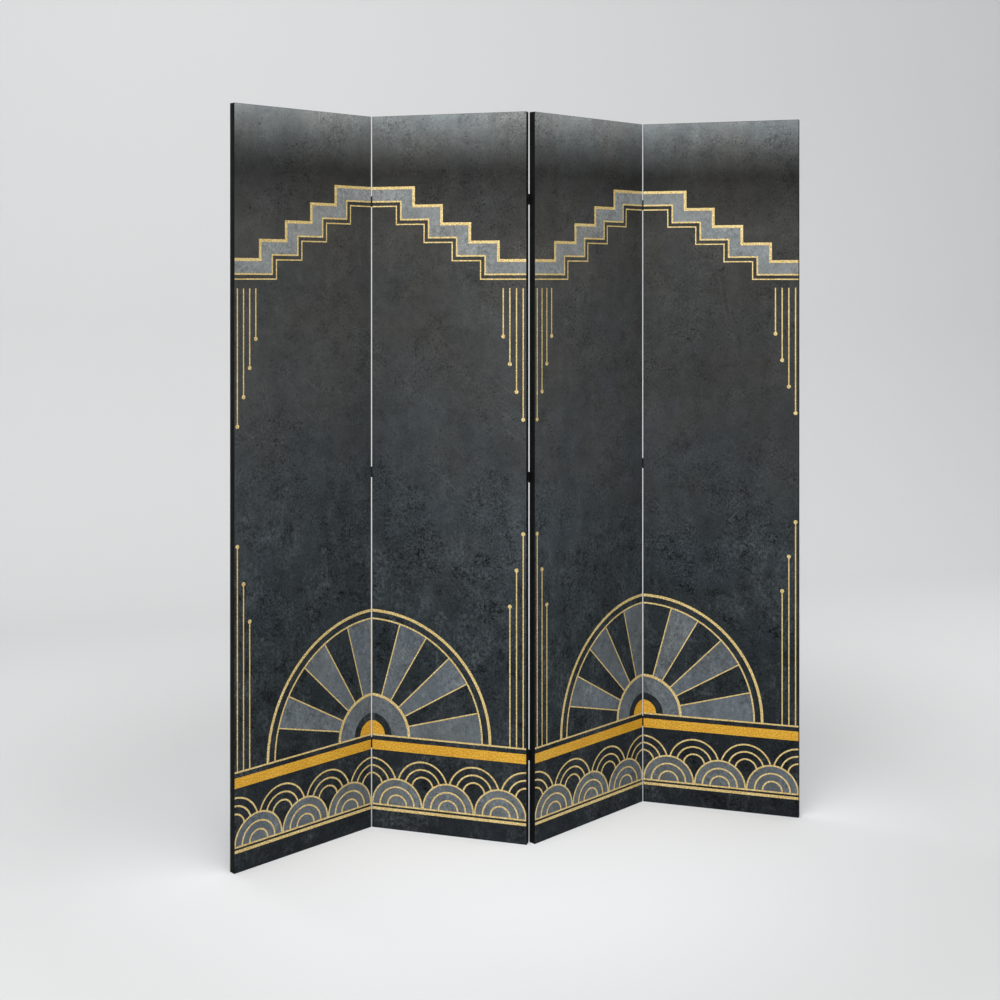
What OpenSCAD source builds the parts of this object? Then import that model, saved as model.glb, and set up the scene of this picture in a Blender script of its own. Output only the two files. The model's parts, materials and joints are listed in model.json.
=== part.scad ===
// Folding room divider of four canvas panels on wooden stretcher frames.
// Millimetres, Z up. The origin is on the floor at the middle of the standing screen, X runs along the
// screen to the right as seen from its printed side, and Y points to the back.
// Each panel is drawn in its own frame: x from its left edge, y from its printed face to its back, z up.

/* [Screen] */
// Height of the screen
screen_h = 1800; // [1500:10:2100]
// Width of one panel
panel_w = 406; // [320:2:480]
// Angle between neighbouring panels as the screen stands, counted from flat
fold_angle = 60; // [20:1:110]

/* [Stretcher frame] */
// Width of a frame bar, seen from the front
bar_w = 38; // [32:1:50]
// Depth of a frame bar, from the canvas to the back
bar_t = 17.4; // [16:0.2:24]
// Width of the rim that carries the canvas, at the outer edge of each bar
rim_w = 8; // [5:0.5:12]
// How far the front of each bar slopes back from the canvas, rim to inner edge
bar_slope = 2.5; // [1:0.25:4]
// Rounding of the outer edges of the bars
bar_round = 0.9; // [0.7:0.1:1.6]
// Thickness of the tongue in each mitred corner
tongue_t = 4; // [3:0.25:5]
// Distance of that tongue from the outer and inner edges of the bars
tongue_inset = 8; // [6:0.5:12]
// Number of cross bars in a panel
cross_bar_count = 2; // [1:1:4]
// Height of a cross bar
cross_bar_h = 30; // [20:1:40]
// Depth of a cross bar, which lies flush with the back of the frame
cross_bar_t = 11; // [8:0.5:12]
// Length of the tenon at each end of a cross bar
tenon_l = 8; // [5:0.5:12]
// Thickness of that tenon
tenon_t = 5; // [3:0.25:6]
// Clearance of tongues and tenons all round
wood_play = 0.15; // [0.05:0.05:0.3]

/* [Canvas and back] */
// Thickness of the printed canvas
canvas_t = 0.6; // [0.4:0.05:0.8]
// How far the canvas goes beyond the frame's edge where it turns over the back
turn_over = 16; // [10:1:25]
// How much tighter the canvas bends round an edge than the wood under it
bend_ease = 0.3; // [0.1:0.05:0.5]
// Thickness of the cloth on the back
back_cover_t = 0.4; // [0.2:0.05:0.8]
// Distance of that cloth from the edges of the panel
back_cover_inset = 5; // [3:0.5:8]

/* [Hinges] */
// Distance of the upper and lower hinges from the ends of the screen
hinge_inset = 215; // [120:5:400]
// Height of a hinge leaf
leaf_h = 26; // [22:1:36]
// Width of a leaf on the edge of its panel
leaf_w = 14; // [11:0.5:15]
// Thickness of a leaf, which lies on the wood in a window of the canvas
leaf_t = 0.9; // [0.8:0.05:1.2]
// Rounding of the two far corners of a leaf
leaf_round = 2; // [0.5:0.25:4]
// Space left between the two leaves when the panels lie flat
leaf_space = 0.2; // [0.15:0.05:0.6]
// Clearance of the canvas round a leaf
window_play = 0.15; // [0.1:0.05:0.4]
// Diameter of the barrel
barrel_d = 3; // [2.9:0.1:4]
// Clearance between the barrel and the rounded edges of both panels
barrel_play = 0.1; // [0.1:0.05:0.4]
// Number of knuckles in a barrel
knuckle_count = 3; // [3:2:5]
// Gap between neighbouring knuckles
knuckle_space = 0.2; // [0.1:0.05:0.4]
// Clearance between a leaf's edge and the knuckles of the other leaf
notch_play = 0.25; // [0.15:0.05:0.5]
// Diameter of the pin
pin_d = 1.6; // [1.2:0.1:1.7]
// Clearance of the pin in its bore, on the radius
pin_play = 0.05; // [0.03:0.01:0.1]
// Diameter of the peened ends of the pin
pin_head_d = 2.4; // [2.2:0.1:2.8]
// Height of those ends
pin_head_h = 0.6; // [0.3:0.1:1]

/* [Screws] */
// Diameter of the shank
screw_d = 2.6; // [2:0.1:3]
// Diameter of the countersunk head
screw_head_d = 4.6; // [4:0.1:5.4]
// Length over all
screw_l = 14; // [10:0.5:20]
// Length of the point
screw_point_l = 3; // [2:0.25:4]
// Distance between the two screws of a leaf
screw_pitch = 14; // [11:0.5:16]
// Clearance of a screw in its holes, on the radius
screw_play = 0.05; // [0.03:0.01:0.1]
// Width of each slot of the cross recess
recess_w = 0.5; // [0.3:0.05:0.7]
// Length of each slot
recess_l = 2.4; // [1.6:0.1:3]
// Depth of the recess
recess_depth = 0.6; // [0.3:0.05:0.7]

/* [Hidden] */
$fn = 48;
PANELS = [1, 2, 3, 4];
JOINTS = [1, 2, 3];                       // joint j lies between panels j and j + 1
LEVELS = ["lower", "middle", "upper"];
PANEL_PIECES = ["canvas", "back_cover", "left_stile", "right_stile", "top_rail", "bottom_rail",
                "cross_bars", "hinge_screws"];
HINGE_PIECES = ["left_leaf", "right_leaf", "pin"];

over = 1;                                 // how far a cut runs past what it cuts
half_fold = fold_angle / 2;
edge_round = bar_round - bend_ease + canvas_t;
canvas_depth = bar_t + 2 * canvas_t;
panel_t = canvas_depth + back_cover_t;
frame_w = panel_w - 2 * canvas_t;
frame_h = screen_h - 2 * canvas_t;

leaf_proud = leaf_t - canvas_t;           // how far a leaf stands before the canvas
end_gap = 2 * leaf_proud + leaf_space;    // between the edges of two panels that lie flat
barrel_r = barrel_d / 2;
bore_r = pin_d / 2 + pin_play;
nest_r = barrel_r + barrel_play + edge_round;   // the barrel nests between the panels' rounded edges
axis_out = sqrt(pow(nest_r, 2) - pow(end_gap / 2 + edge_round, 2)) - edge_round;
leaf_reach = axis_out + leaf_w;           // from the pin's axis to the far edge of a leaf
notch_reach = barrel_r + notch_play;
knuckle_pitch = leaf_h / knuckle_count;
screw_reach = (notch_reach + leaf_reach) / 2;
screw_hole_r = screw_d / 2 + screw_play;

// Rounding takes this much off each corner in depth, because the panels stand at an angle
corner_loss = edge_round * (sin(half_fold) + cos(half_fold) - 1);
screen_depth = panel_w * sin(half_fold) + canvas_depth * cos(half_fold) - 2 * corner_loss;
chain_shift = [-chain_axis(2).x, -screen_depth / 2 - corner_loss];

CANVAS_BLACK = [0.13, 0.14, 0.15];
FLEECE_BLACK = [0.06, 0.06, 0.06];
PINE = [0.80, 0.66, 0.45];
PINE_CUT = [0.72, 0.57, 0.37];
HINGE_BLACK = [0.09, 0.09, 0.10];
PIN_STEEL = [0.30, 0.30, 0.32];
SCREW_BLACK = [0.16, 0.16, 0.17];

function hinge_node(j, level, piece) = str(level, "_hinge_", j, j + 1, "_", piece);

// Where things stand. Odd joints have their pins in front of the printed faces, even ones behind the backs
function turned(angle, p) = [p.x * cos(angle) - p.y * sin(angle), p.x * sin(angle) + p.y * cos(angle)];
function panel_angle(n) = n % 2 == 1 ? half_fold : -half_fold;
function opens_front(j) = j % 2 == 1;
function axis_in_panel(n, j) = [
    n == j ? panel_w + end_gap / 2 : -end_gap / 2,
    opens_front(j) ? -axis_out : panel_t + axis_out
];
function chain_origin(n) = n == 1 ? [0, 0]
    : chain_axis(n - 1) - turned(panel_angle(n), axis_in_panel(n, n - 1));
function chain_axis(j) = chain_origin(j) + turned(panel_angle(j), axis_in_panel(j, j));
function panel_origin(n) = chain_origin(n) + chain_shift;

function joints_of(n) = [for (j = JOINTS) if (j == n || j + 1 == n) j];
function hinge_z(level) = level == "lower" ? hinge_inset
    : level == "upper" ? screen_h - hinge_inset : screen_h / 2;
function screw_heights() = [for (level = LEVELS, s = [-1, 1]) hinge_z(level) + s * screw_pitch / 2];
function cross_bar_z(i) = screen_h * (i + 1) / (cross_bar_count + 1);

module in_panel(n) {
    origin = panel_origin(n);
    translate([origin.x, origin.y, 0]) rotate([0, 0, panel_angle(n)]) children();
}

// At the pin's axis of joint j in panel n, turned so that the panel lies at -x and the leaf reaches to +y
module at_axis(n, j) {
    axis = axis_in_panel(n, j);
    translate([axis.x, axis.y, 0])
        mirror([n == j ? 0 : 1, 0, 0])
            mirror([0, opens_front(j) ? 0 : 1, 0])
                children();
}

// An outline in x and z, carried back from y = 0
module deep(depth) { translate([0, depth, 0]) rotate([90, 0, 0]) linear_extrude(depth) children(); }

// An outline in y and z, carried to the right from x = 0
module across(width) { rotate([90, 0, 90]) linear_extrude(width) children(); }

// Takes the sharp corner off an outline at the origin
module corner_waste(r) {
    difference() {
        translate([-over, -over]) square(r + over);
        translate([r, r]) circle(r);
    }
}

module rounded_rect(w, d, r) {
    difference() {
        square([w, d]);
        for (at_right = [0, 1], at_back = [0, 1])
            translate([at_right * w, at_back * d])
                mirror([at_right, 0]) mirror([0, at_back]) corner_waste(r);
    }
}

// A slab whose long edges are rounded on both faces
module slab(w, d, h, r) {
    intersection() {
        linear_extrude(h) rounded_rect(w, d, r);
        translate([0, 0, h]) rotate([0, 90, 0]) linear_extrude(w) rounded_rect(h, d, r);
    }
}

// Canvas: the front, the four edges and the turn-over on the back, in one sheet
module canvas(n) {
    color(CANVAS_BLACK) in_panel(n) difference() {
        slab(panel_w, canvas_depth, screen_h, edge_round);
        translate([canvas_t, canvas_t, canvas_t]) slab(frame_w, bar_t, frame_h, edge_round - canvas_t);
        translate([canvas_t + turn_over, canvas_depth / 2, canvas_t + turn_over])
            cube([frame_w - 2 * turn_over, canvas_depth, frame_h - 2 * turn_over]);
        leaf_windows(n);
    }
}

module back_cover(n) {
    color(FLEECE_BLACK) in_panel(n)
        translate([back_cover_inset, canvas_depth, back_cover_inset])
            cube([panel_w - 2 * back_cover_inset, back_cover_t, screen_h - 2 * back_cover_inset]);
}

// Section of a frame bar: the outer edge is at x = 0 and the canvas at y = 0
module bar_section() {
    difference() {
        polygon([[0, 0], [rim_w, 0], [bar_w, bar_slope], [bar_w, bar_t], [0, bar_t]]);
        corner_waste(bar_round);
        translate([0, bar_t]) mirror([0, 1]) corner_waste(bar_round);
    }
}

// Bar of a given length along z, mitred at both ends
module mitred_bar(length) {
    intersection() {
        linear_extrude(length) bar_section();
        deep(bar_t) polygon([[0, 0], [bar_w, bar_w], [bar_w, length - bar_w], [0, length]]);
    }
}

// Tongue of a corner, as wide as the play makes it, in the frame of the corner at the lower left
module corner_tongue(play) {
    a = tongue_inset - play;
    b = bar_w - tongue_inset + play;
    translate([0, (bar_t - tongue_t) / 2 - play, 0])
        deep(tongue_t + 2 * play) polygon([[a, a], [b, a], [b, b]]);
}

// The corners of a bar that stands on the left, lower and upper
module at_bar_ends(length) {
    children();
    translate([0, 0, length]) mirror([0, 0, 1]) children();
}

module mortises() {
    for (i = [0 : cross_bar_count - 1])
        translate([bar_w - tenon_l - wood_play, bar_t - (cross_bar_t + tenon_t) / 2 - wood_play,
                   cross_bar_z(i) - canvas_t - cross_bar_h / 2 - wood_play])
            cube([tenon_l + wood_play + over, tenon_t + 2 * wood_play, cross_bar_h + 2 * wood_play]);
}

// Stile on the left, in the frame of the stretcher frame
module stile() {
    difference() {
        mitred_bar(frame_h);
        mortises();
    }
    at_bar_ends(frame_h) corner_tongue(0);
}

// Holes for the hinge screws of panel n, in the frame of the panel
module screw_holes(n) {
    for (j = joints_of(n), z = screw_heights())
        at_axis(n, j) translate([-end_gap / 2 + over, screw_reach, z])
            rotate([0, -90, 0]) cylinder(h = over + screw_l - leaf_proud + screw_play, r = screw_hole_r);
}

module left_stile(n) {
    color(PINE) in_panel(n) difference() {
        translate([canvas_t, canvas_t, canvas_t]) stile();
        screw_holes(n);
    }
}

module right_stile(n) {
    color(PINE) in_panel(n) difference() {
        translate([panel_w - canvas_t, canvas_t, canvas_t]) mirror([1, 0, 0]) stile();
        screw_holes(n);
    }
}

// Rail at the bottom, in the frame of the stretcher frame: a bar laid down, slotted for both tongues
module rail() {
    difference() {
        translate([frame_w, 0, 0]) rotate([0, -90, 0]) mitred_bar(frame_w);
        corner_tongue(wood_play);
        translate([frame_w, 0, 0]) mirror([1, 0, 0]) corner_tongue(wood_play);
    }
}

module bottom_rail(n) {
    color(PINE) in_panel(n) translate([canvas_t, canvas_t, canvas_t]) rail();
}

module top_rail(n) {
    color(PINE) in_panel(n)
        translate([canvas_t, canvas_t, screen_h - canvas_t]) mirror([0, 0, 1]) rail();
}

module cross_bars(n) {
    span = frame_w - 2 * bar_w;
    color(PINE_CUT) in_panel(n)
        for (i = [0 : cross_bar_count - 1])
            translate([canvas_t + bar_w, canvas_t + bar_t - cross_bar_t, cross_bar_z(i) - cross_bar_h / 2])
                union() {
                    cube([span, cross_bar_t, cross_bar_h]);
                    translate([-tenon_l, (cross_bar_t - tenon_t) / 2, 0])
                        cube([span + 2 * tenon_l, tenon_t, cross_bar_h]);
                }
}

// Knuckle k of a barrel that is centred on z = 0, from end to end
function knuckle_from(k) = -leaf_h / 2 + k * knuckle_pitch + (k == 0 ? 0 : knuckle_space / 2);
function knuckle_to(k) = -leaf_h / 2 + (k + 1) * knuckle_pitch
    - (k == knuckle_count - 1 ? 0 : knuckle_space / 2);
function knuckles(outer) = [for (k = [0 : knuckle_count - 1]) if ((k % 2 == 0) == outer) k];

// Windows in the canvas of panel n, in the frame of the panel, so that the leaves lie on the wood
module leaf_windows(n) {
    for (j = joints_of(n), level = LEVELS)
        at_axis(n, j)
            translate([-end_gap / 2 - canvas_t - window_play, -over, hinge_z(level) - leaf_h / 2 - window_play])
                cube([canvas_t + window_play + over, over + leaf_reach + window_play,
                      leaf_h + 2 * window_play]);
}

module leaf_outline(outer) {
    difference() {
        translate([0, -leaf_h / 2]) square([leaf_reach, leaf_h]);
        for (side = [0, 1])
            translate([leaf_reach, (2 * side - 1) * leaf_h / 2])
                mirror([1, 0]) mirror([0, side]) corner_waste(leaf_round);
        for (k = knuckles(!outer))
            translate([-over, knuckle_from(k) - knuckle_space])
                square([over + notch_reach, knuckle_to(k) - knuckle_from(k) + 2 * knuckle_space]);
    }
}

// Leaf that lies on the edge of a panel at -x. The outer one has the first and last knuckles
module leaf(outer) {
    difference() {
        union() {
            translate([-leaf_space / 2 - leaf_t, 0, 0]) across(leaf_t) leaf_outline(outer);
            for (k = knuckles(outer))
                translate([0, 0, knuckle_from(k)])
                    cylinder(h = knuckle_to(k) - knuckle_from(k), r = barrel_r);
        }
        translate([0, 0, -leaf_h / 2 - over]) cylinder(h = leaf_h + 2 * over, r = bore_r);
        for (s = [-1, 1])
            translate([-leaf_space / 2, screw_reach, s * screw_pitch / 2]) rotate([0, -90, 0])
                cylinder(h = leaf_t, r1 = screw_head_d / 2 + screw_play, r2 = screw_hole_r);
    }
}

module hinge_leaf(n, j, level) {
    color(HINGE_BLACK) in_panel(n) at_axis(n, j) translate([0, 0, hinge_z(level)]) leaf(n == j);
}

module hinge_pin(j, level) {
    color(PIN_STEEL) in_panel(j) at_axis(j, j) translate([0, 0, hinge_z(level)]) {
        translate([0, 0, -leaf_h / 2]) cylinder(h = leaf_h, r = pin_d / 2);
        for (side = [0, 1])
            mirror([0, 0, side]) translate([0, 0, leaf_h / 2])
                cylinder(h = pin_head_h, r1 = pin_head_d / 2, r2 = pin_d / 2);
    }
}

// Screw along -x, its head flush with x = 0
module screw() {
    difference() {
        rotate([0, -90, 0]) {
            cylinder(h = leaf_t, r1 = screw_head_d / 2, r2 = screw_d / 2);
            translate([0, 0, leaf_t]) cylinder(h = screw_l - leaf_t - screw_point_l, r = screw_d / 2);
            translate([0, 0, screw_l - screw_point_l])
                cylinder(h = screw_point_l, r1 = screw_d / 2, r2 = screw_play);
        }
        for (turn = [0, 90])
            rotate([turn, 0, 0]) translate([-recess_depth, -recess_w / 2, -recess_l / 2])
                cube([recess_depth + over, recess_w, recess_l]);
    }
}

module hinge_screws(n) {
    color(SCREW_BLACK) in_panel(n)
        for (j = joints_of(n), z = screw_heights())
            at_axis(n, j) translate([-leaf_space / 2, screw_reach, z]) screw();
}

for (n = PANELS) {
    canvas(n);
    back_cover(n);
    left_stile(n);
    right_stile(n);
    top_rail(n);
    bottom_rail(n);
    cross_bars(n);
    hinge_screws(n);
}
for (j = JOINTS, level = LEVELS) {
    hinge_leaf(j, j, level);
    hinge_leaf(j + 1, j, level);
    hinge_pin(j, level);
}
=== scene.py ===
"""Dresses the folding screen: its canvases, back cloths, staples, hinges, and the studio.

Every length is in metres. The screen's own frame has its origin on the floor at the middle of the
standing screen, X to the right as seen from the printed side, Y to the back and Z up. A panel's
frame has x from its left edge, y from its printed face to its back, and z up.
"""
import json
import logging
import math
import random
from abc import ABC, abstractmethod
from collections.abc import Mapping, Sequence
from dataclasses import dataclass
from enum import Enum
from typing import TypeVar

import bmesh
import bpy
import mathutils.noise
from bmesh.types import BMesh, BMEdge, BMFace, BMVert
from bpy.types import Material, Node, NodeSocket as Socket, Object
from mathutils import Matrix, Vector


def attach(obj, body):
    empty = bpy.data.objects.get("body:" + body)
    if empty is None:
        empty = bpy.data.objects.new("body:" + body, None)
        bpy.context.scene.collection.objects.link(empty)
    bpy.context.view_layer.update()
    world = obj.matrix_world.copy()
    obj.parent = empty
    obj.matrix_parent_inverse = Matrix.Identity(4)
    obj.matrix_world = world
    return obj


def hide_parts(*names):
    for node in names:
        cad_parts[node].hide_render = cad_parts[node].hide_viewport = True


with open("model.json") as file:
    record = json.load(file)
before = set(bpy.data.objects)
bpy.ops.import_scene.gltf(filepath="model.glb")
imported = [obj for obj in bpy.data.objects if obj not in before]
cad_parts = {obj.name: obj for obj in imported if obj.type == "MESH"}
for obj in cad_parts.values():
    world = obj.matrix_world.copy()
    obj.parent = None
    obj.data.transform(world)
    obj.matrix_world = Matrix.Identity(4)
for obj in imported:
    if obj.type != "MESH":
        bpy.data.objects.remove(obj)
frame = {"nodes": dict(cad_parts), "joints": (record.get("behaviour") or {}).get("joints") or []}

LOG = logging.getLogger("screen")
MM = 0.001
SPECK = 0.001 * MM  # a length that is too short to matter
FRONTAL = 0.9  # least share of a front face's normal that points forward
SIDEWAYS = 0.7  # least share of an edge face's normal that points sideways, or up or down
PRINT_UV = "print"
STAND = Matrix.Rotation(math.radians(90), 4, "X")  # stands what lies flat upright
Pair = tuple[float, float]
Triple = tuple[float, float, float]
Colour = tuple[float, float, float]
Carry = tuple[float, float, float, float]  # from low, from high, to low, to high
Value = float | Colour | Socket
Stop = tuple[float, Colour]
Part = TypeVar("Part", BMVert, BMEdge, BMFace)


def linear(*display: int) -> Colour:
    """Turn a display's red, green and blue, 0 to 255, into the light that they stand for."""
    shares = [value / 255 for value in display]
    return tuple(s / 12.92 if s <= 0.04045 else ((s + 0.055) / 1.055) ** 2.4 for s in shares)


@dataclass(frozen=True)
class ScreenSizes:
    """Sizes that the construction has, shared by everything that is laid on it."""

    height: float = 1800 * MM
    panel_width: float = 406 * MM
    canvas_depth: float = 18.6 * MM
    canvas: float = 0.6 * MM
    edge_round: float = 1.2 * MM
    turn_over: float = 16.6 * MM
    back_cloth: float = 0.4 * MM
    cloth_inset: float = 5 * MM
    end_gap: float = 0.8 * MM
    axis_out: float = 1.09783 * MM
    half_fold: float = math.radians(30)
    panels: int = 4

    @property
    def depth(self) -> float:
        """Depth of a panel over its canvas and its back cloth."""
        return self.canvas_depth + self.back_cloth

    @property
    def flat_width(self) -> float:
        """Width of the print over all panels laid flat."""
        return self.panels * self.panel_width


SIZES = ScreenSizes()


@dataclass(frozen=True)
class Noise:
    """A layer of noise.

    It has its scale in features per metre, its octaves and their roughness, how many times finer it
    is along each axis, its turn, how much it is warped, and the band of its values that shows.
    """

    scale: float
    detail: float = 2.0
    roughness: float = 0.5
    factors: Triple = (1, 1, 1)
    turn: float = 0.0
    distortion: float = 0.0
    band: Pair = (0.3, 0.7)


@dataclass(kw_only=True)
class Finish(ABC):
    """A finish, with its material's node tree put together link by link.

    Its roughness is the middle one where it varies, by the gloss reach both ways. Its relief is the
    depth in metres and the strength of its bumps. A printed finish follows the print's flat
    coordinates, and any other the object's own.
    """

    name: str
    roughness: float
    metallic: float = 0.0
    specular: float = 0.5
    printed: bool = False
    relief: Pair = (0.10 * MM, 0.5)
    gloss_reach: float = 0.0
    gloss_band: Pair = (0.3, 0.7)
    noise_gap: float = 3.7

    def __post_init__(self) -> None:
        """Make the material and paint it."""
        self.material = bpy.data.materials.new(self.name)
        self.material.use_nodes = True
        self.tree = self.material.node_tree
        self.shader = next(n for n in self.tree.nodes if n.type == "BSDF_PRINCIPLED")
        self.coordinates = (self.node("UVMap", {}, uv_map=PRINT_UV).outputs["UV"] if self.printed
                            else self.node("TexCoord", {}).outputs["Object"])
        self.draws = 0
        self.shade("Roughness", self.roughness)
        self.shade("Metallic", self.metallic)
        self.shade("Specular IOR Level", self.specular)
        self.paint()

    @abstractmethod
    def paint(self) -> None:
        """Paint what varies over the surface."""

    def put(self, socket: Socket, value: Value) -> None:
        """Set a socket, by a link where the value is a socket itself.

        Args:
            socket: the input.
            value: a number, a colour or an output socket.
        """
        if isinstance(value, Socket):
            self.tree.links.new(value, socket)
        elif isinstance(value, tuple) and socket.type == "RGBA":
            socket.default_value = (*value, 1)
        else:
            socket.default_value = value

    def node(self, kind: str, inputs: Mapping[str | int, Value], **settings: str) -> Node:
        """Add a node.

        Args:
            kind: its type, as Blender names it after ShaderNode.
            inputs: what its inputs get, by their name or number.
            settings: its other settings.

        Returns:
            The node.
        """
        node = self.tree.nodes.new(f"ShaderNode{kind}")
        for name, setting in settings.items():
            setattr(node, name, setting)
        for name, value in inputs.items():
            self.put(node.inputs[name], value)
        return node

    def shade(self, name: str, value: Value) -> None:
        """Set an input of the shader."""
        self.put(self.shader.inputs[name], value)

    def roughen(self, noise: Socket) -> None:
        """Let the roughness vary with a noise."""
        limits = self.roughness - self.gloss_reach, self.roughness + self.gloss_reach
        self.shade("Roughness", self.spread(noise, *self.gloss_band, *limits))

    def bump(self, height: Value) -> None:
        """Bump the surface by a height of 0 to 1."""
        inputs = {"Strength": self.relief[1], "Distance": self.relief[0], "Height": height}
        self.shade("Normal", self.node("Bump", inputs).outputs["Normal"])

    def noise(self, noise: Noise) -> Socket:
        """Add a noise, in a stretch of space that no other noise of the material reads.

        Args:
            noise: what it is like.

        Returns:
            The noise, about 0.5 on average.
        """
        self.draws += 1
        place = self.node("Mapping", {
            "Vector": self.coordinates,
            "Location": (0, 0, -self.noise_gap * self.draws),
            "Rotation": (0, 0, noise.turn),
            "Scale": tuple(1 / factor for factor in noise.factors),
        }, vector_type="TEXTURE")
        return self.node("TexNoise", {
            "Vector": place.outputs["Vector"], "Scale": noise.scale, "Detail": noise.detail,
            "Roughness": noise.roughness, "Distortion": noise.distortion,
        }).outputs["Fac"]

    def mottle(self, noise: Noise, to_low: float = 0, to_high: float = 1, *crowd: Value) -> Socket:
        """Add a noise and carry its band to another range, after what crowds it has lifted it."""
        lifted = self.plus(self.noise(noise), *crowd)
        return self.spread(lifted, *noise.band, to_low, to_high)

    def cells(self, scale: float) -> Socket:
        """Add the distance, in cells, to the nearest of many points scattered at a scale."""
        inputs = {"Vector": self.coordinates, "Scale": scale}
        return self.node("TexVoronoi", inputs).outputs["Distance"]

    def spread(self, value: Value, low: float, high: float, to_low: float = 0, to_high: float = 1,
               course: str = "LINEAR") -> Socket:
        """Carry a value's range to another on the Map Range node's course, and clamp the rest."""
        inputs = {0: value, "From Min": low, "From Max": high, "To Min": to_low, "To Max": to_high}
        return self.node("MapRange", inputs, interpolation_type=course).outputs["Result"]

    def reckon(self, operation: str, first: Value, *others: Value) -> Socket:
        """Work out a sum, from left to right.

        Args:
            operation: the Math node's operation.
            first: a number or a socket.
            others: more of them.

        Returns:
            The result.
        """
        for other in others:
            first = self.node("Math", {0: first, 1: other}, operation=operation).outputs["Value"]
        return first

    def plus(self, *values: Value) -> Socket:
        """Add values up."""
        return self.reckon("ADD", *values)

    def times(self, *values: Value) -> Socket:
        """Multiply values."""
        return self.reckon("MULTIPLY", *values)

    def blend(self, share: Value, first: Value, second: Value, kind: str = "MIX") -> Socket:
        """Mix a share of the second colour into the first, as the Mix node's blend type says."""
        return self.node("Mix", {"Factor": share, 6: first, 7: second},
                         data_type="RGBA", blend_type=kind).outputs[2]

    def tinge(self, colour: Value, *factors: Value) -> Socket:
        """Multiply a colour.

        Args:
            colour: the colour.
            factors: colours or numbers.

        Returns:
            The new colour.
        """
        for factor in factors:
            colour = self.blend(1.0, colour, factor, "MULTIPLY")
        return colour

    def ramp(self, value: Value, stops: Sequence[Stop]) -> Socket:
        """Turn a value into a colour.

        Args:
            value: the value, 0 to 1.
            stops: places and colours, in order.

        Returns:
            The colour.
        """
        node = self.node("ValToRGB", {"Fac": value})
        points = node.color_ramp.elements
        for place, _ in stops[2:]:
            points.new(place)
        for point, (place, colour) in zip(points, stops):
            point.position = place
            point.color = (*colour, 1)
        return node.outputs["Color"]

    def print_share(self, axis: str, span: float) -> Socket:
        """Give a place on the print, X along it or Y up it, as a share of its span."""
        split = self.node("SeparateXYZ", {"Vector": self.coordinates})
        return self.spread(split.outputs[axis], 0, span)

    def weave(self, pitch: float = 1.1 * MM) -> Socket:
        """Add a plain weave: warp and weft that pass over each other by turns.

        Args:
            pitch: distance from thread to thread.

        Returns:
            The height of the threads, 0 to 1.
        """
        scale = math.tau / 20 / pitch  # a wave texture of scale 1 has a wave every tau / 20
        waves = [self.node("TexWave", {
            "Vector": self.coordinates, "Scale": scale,
            "Distortion": 0.6, "Detail": 1, "Detail Scale": 2,
        }, wave_type="BANDS", bands_direction=axis).outputs["Fac"] for axis in ("X", "Y")]
        return self.times(self.plus(*waves), 0.5)


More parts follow.
